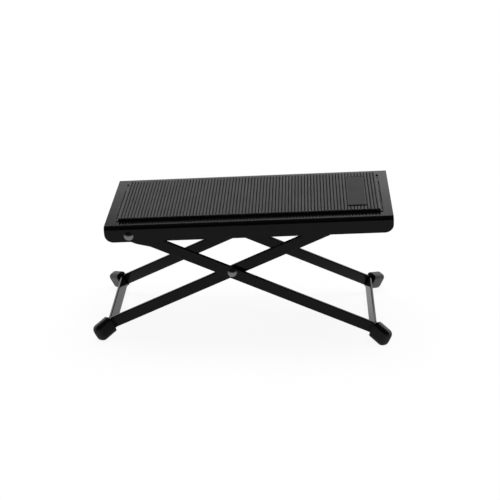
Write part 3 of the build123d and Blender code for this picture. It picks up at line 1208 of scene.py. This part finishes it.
@dataclass
class Studio:
    """A white table in a room that is bright behind it, soft lamps and the photograph's camera.

    focal_px is the camera's focal length in pixels of the 500-pixel frame. Angles are in
    degrees: yaw from +Y towards +X, pitch below the horizon, roll anticlockwise. The other
    lengths are in metres. Levels are of brightness, and a pair of edges says between which
    places one level turns to the next.
    """

    eye: tuple[float, float, float] = (0.0531, -1.1281, 0.6112)
    focal_px: float = 1212.7
    yaw: float = -2.358
    pitch: float = 25.434
    roll: float = -0.58
    view_end: float = 50.0
    paper_white: str = "#f4f4f4"
    table_front: float = -1.2
    table_back: float = 2.2
    table_half: float = 1.6
    glow_levels: tuple[float, float] = (0.92, 1.0)
    glow_edges: tuple[float, float] = (0.14, 0.45)
    glow_oval: float = 2.1
    # painted shade: between these edges the paper's front part is dimmed in reflections
    painted_front_shade_level: float = 0.44
    painted_front_shade_edges: tuple[float, float] = (-0.07, 0.07)
    wall_levels: tuple[float, float] = (1.5, 0.04)
    wall_edges: tuple[float, float] = (0.36, 0.44)
    wall_slope: float = 0.2
    front_level: float = 0.010
    front_edges: tuple[float, float] = (-0.10, 0.60)
    lamps: tuple[Softbox, ...] = (
        Softbox("top_softbox", (0.2, 0.5, 2.2), (0.0, 0.0, 0.1), 1.8, 1.4, 52.0),
        Softbox("left_softbox", (-1.8, 0.3, 1.3), (0.0, 0.0, 0.1), 1.0, 1.2, 9.0),
        Softbox("front_fill", (0.5, -1.8, 1.5), (0.0, 0.0, 0.1), 1.4, 1.2, 4.0),
    )

    def build(self) -> None:
        """Builds the table, the room, the lamps and the camera."""
        self._table()
        self._room()
        for lamp in self.lamps:
            lamp.build()
        self._camera()
        bpy.context.scene.view_settings.view_transform = "Standard"

    def _table(self) -> None:
        """Lays the pale floor that the footrest stands on."""
        bpy.ops.object.select_all(action="DESELECT")
        bpy.ops.mesh.primitive_plane_add(size=2.0)
        floor = bpy.context.object
        floor.name = "floor"
        floor.scale = (self.table_half, (self.table_back - self.table_front) / 2, 1.0)
        floor.location = (0, (self.table_back + self.table_front) / 2, 0)
        bpy.ops.object.transform_apply(location=True, rotation=True, scale=True)
        floor.data.materials.append(self._paper())

    def _paper(self) -> bpy.types.Material:
        """White paper that fades into the white room and keeps a soft shadow.

        Reflections see the paper's front part painted dim, a painted shade in place of a black flag.

        Returns:
            The material.
        """
        made = bpy.data.materials.new("white_paper")
        made.use_nodes = True
        tree = made.node_tree
        tree.nodes.clear()
        path = add_node(tree, "ShaderNodeLightPath").outputs
        gloss = add_node(
            tree,
            "ShaderNodeMath",
            {"operation": "MAXIMUM"},
            {},
            {0: path["Is Glossy Ray"], 1: path["Is Transmission Ray"]},
        ).outputs[0]
        place = add_node(tree, "ShaderNodeTexCoord").outputs["Object"]
        oval = add_node(
            tree,
            "ShaderNodeVectorMath",
            {"operation": "MULTIPLY"},
            {1: (1.0, self.glow_oval, 1.0)},
            {0: place},
        ).outputs["Vector"]
        away = add_node(tree, "ShaderNodeVectorMath", {"operation": "LENGTH"}, {}, {0: oval}).outputs["Value"]
        fade = add_node(
            tree,
            "ShaderNodeMapRange",
            {"interpolation_type": "SMOOTHSTEP"},
            {
                "From Min": self.glow_edges[0],
                "From Max": self.glow_edges[1],
                "To Min": self.glow_levels[0],
                "To Max": self.glow_levels[1],
            },
            {"Value": away},
        ).outputs["Result"]
        seen = add_node(
            tree, "ShaderNodeMath", {"operation": "MULTIPLY"}, {}, {0: path["Is Camera Ray"], 1: fade}
        ).outputs[0]
        share = add_node(tree, "ShaderNodeMath", {"operation": "MAXIMUM"}, {}, {0: seen, 1: gloss}).outputs[0]
        depth = add_node(tree, "ShaderNodeSeparateXYZ", {}, {}, {"Vector": place}).outputs["Y"]
        # painted shade: the paper's light for reflections drops to a lower level towards the front
        painted_front_shade = add_node(
            tree,
            "ShaderNodeMapRange",
            {"interpolation_type": "SMOOTHSTEP"},
            {"From Min": self.painted_front_shade_edges[0], "From Max": self.painted_front_shade_edges[1], "To Min": self.painted_front_shade_level},
            {"Value": depth},
        ).outputs["Result"]
        level = add_node(
            tree, "ShaderNodeMix", {"data_type": "FLOAT"}, {"A": 1.0}, {"Factor": gloss, "B": painted_front_shade}
        ).outputs["Result"]
        paper = add_node(tree, "ShaderNodeBsdfDiffuse", {}, {"Color": linear(self.paper_white)}).outputs[0]
        light = add_node(
            tree, "ShaderNodeEmission", {}, {"Color": linear("#ffffff")}, {"Strength": level}
        ).outputs[0]
        mix = add_node(tree, "ShaderNodeMixShader", {}, {}, {0: share, 1: paper, 2: light}).outputs[0]
        add_node(tree, "ShaderNodeOutputMaterial", {}, {}, {"Surface": mix})
        return made

    def _room(self) -> None:
        """The room: white to the camera, bright low behind the table and dark in front of it.

        The bright part of the back wall ends at a height that rises to the right.
        """
        world = bpy.data.worlds.new("studio_room")
        bpy.context.scene.world = world
        world.use_nodes = True
        tree = world.node_tree
        tree.nodes.clear()
        place = add_node(tree, "ShaderNodeTexCoord").outputs["Generated"]
        parts = add_node(tree, "ShaderNodeSeparateXYZ", {}, {}, {"Vector": place}).outputs
        height = add_node(
            tree,
            "ShaderNodeMath",
            {"operation": "MULTIPLY_ADD"},
            {1: -self.wall_slope},
            {0: parts["X"], 2: parts["Z"]},
        ).outputs[0]
        wall = add_node(
            tree,
            "ShaderNodeMapRange",
            {"interpolation_type": "SMOOTHSTEP"},
            {
                "From Min": self.wall_edges[0],
                "From Max": self.wall_edges[1],
                "To Min": self.wall_levels[0],
                "To Max": self.wall_levels[1],
            },
            {"Value": height},
        ).outputs["Result"]
        level = add_node(
            tree,
            "ShaderNodeMapRange",
            {"interpolation_type": "SMOOTHSTEP"},
            {"From Min": self.front_edges[0], "From Max": self.front_edges[1], "To Min": self.front_level},
            {"Value": parts["Y"], "To Max": wall},
        ).outputs["Result"]
        seen = add_node(tree, "ShaderNodeLightPath").outputs["Is Camera Ray"]
        strength = add_node(
            tree, "ShaderNodeMix", {"data_type": "FLOAT"}, {"B": 1.0}, {"Factor": seen, "A": level}
        ).outputs["Result"]
        light = add_node(
            tree, "ShaderNodeBackground", {}, {"Color": linear("#ffffff")}, {"Strength": strength}
        ).outputs["Background"]
        add_node(tree, "ShaderNodeOutputWorld", {}, {}, {"Surface": light})

    def _camera(self) -> None:
        """Sets up the photograph's camera."""
        yaw, pitch, roll = (math.radians(v) for v in (self.yaw, self.pitch, self.roll))
        flat = math.cos(pitch)
        forward = Vector((math.sin(yaw) * flat, math.cos(yaw) * flat, -math.sin(pitch)))
        level = Vector((math.cos(yaw), -math.sin(yaw), 0.0))
        upright = level.cross(forward)
        right = math.cos(roll) * level + math.sin(roll) * upright
        up = -math.sin(roll) * level + math.cos(roll) * upright
        data = bpy.data.cameras.new("photo_camera")
        data.sensor_width = SENSOR_MM
        data.lens = self.focal_px * SENSOR_MM / PHOTO_PIXELS
        data.clip_end = self.view_end
        camera = bpy.data.objects.new("photo_camera", data)
        turn = Matrix((right, up, -forward)).transposed().to_4x4()
        camera.matrix_world = Matrix.Translation(Vector(self.eye)) @ turn
        bpy.context.scene.collection.objects.link(camera)
        bpy.context.scene.camera = camera


# The whole footrest


def main() -> None:
    """Builds the footrest's looks and its studio."""
    logging.basicConfig(level=logging.INFO, format="%(name)s: %(message)s")
    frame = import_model()
    nodes = frame["nodes"]
    linkage = Linkage.read(frame["joints"])

    Tread(nodes).build()
    RibbedMat(nodes["rubber_mat"], linkage.tread).build()
    pivots = {
        "cross_rivet_front": RIVET_STEEL,
        "cross_rivet_rear": RIVET_STEEL,
        "cross_washer_front": NYLON,
        "cross_washer_rear": NYLON,
    }
    LegFrame(nodes, "outer_leg_frame", linkage.outer, Body.OUTER, pivots).build()
    LegFrame(nodes, "inner_leg_frame", linkage.inner, Body.INNER, {"lock_rod": ROD_STEEL}).build()
    Boots(
        [
            Foot(nodes["foot_front_right"], linkage.outer, Body.OUTER, Side.FRONT),
            Foot(nodes["foot_rear_right"], linkage.outer, Body.OUTER, Side.REAR),
            Foot(nodes["foot_front_left"], linkage.inner, Body.INNER, Side.FRONT),
            Foot(nodes["foot_rear_left"], linkage.inner, Body.INNER, Side.REAR),
        ]
    ).build()
    Studio().build()


if __name__ == "__main__":
    main()
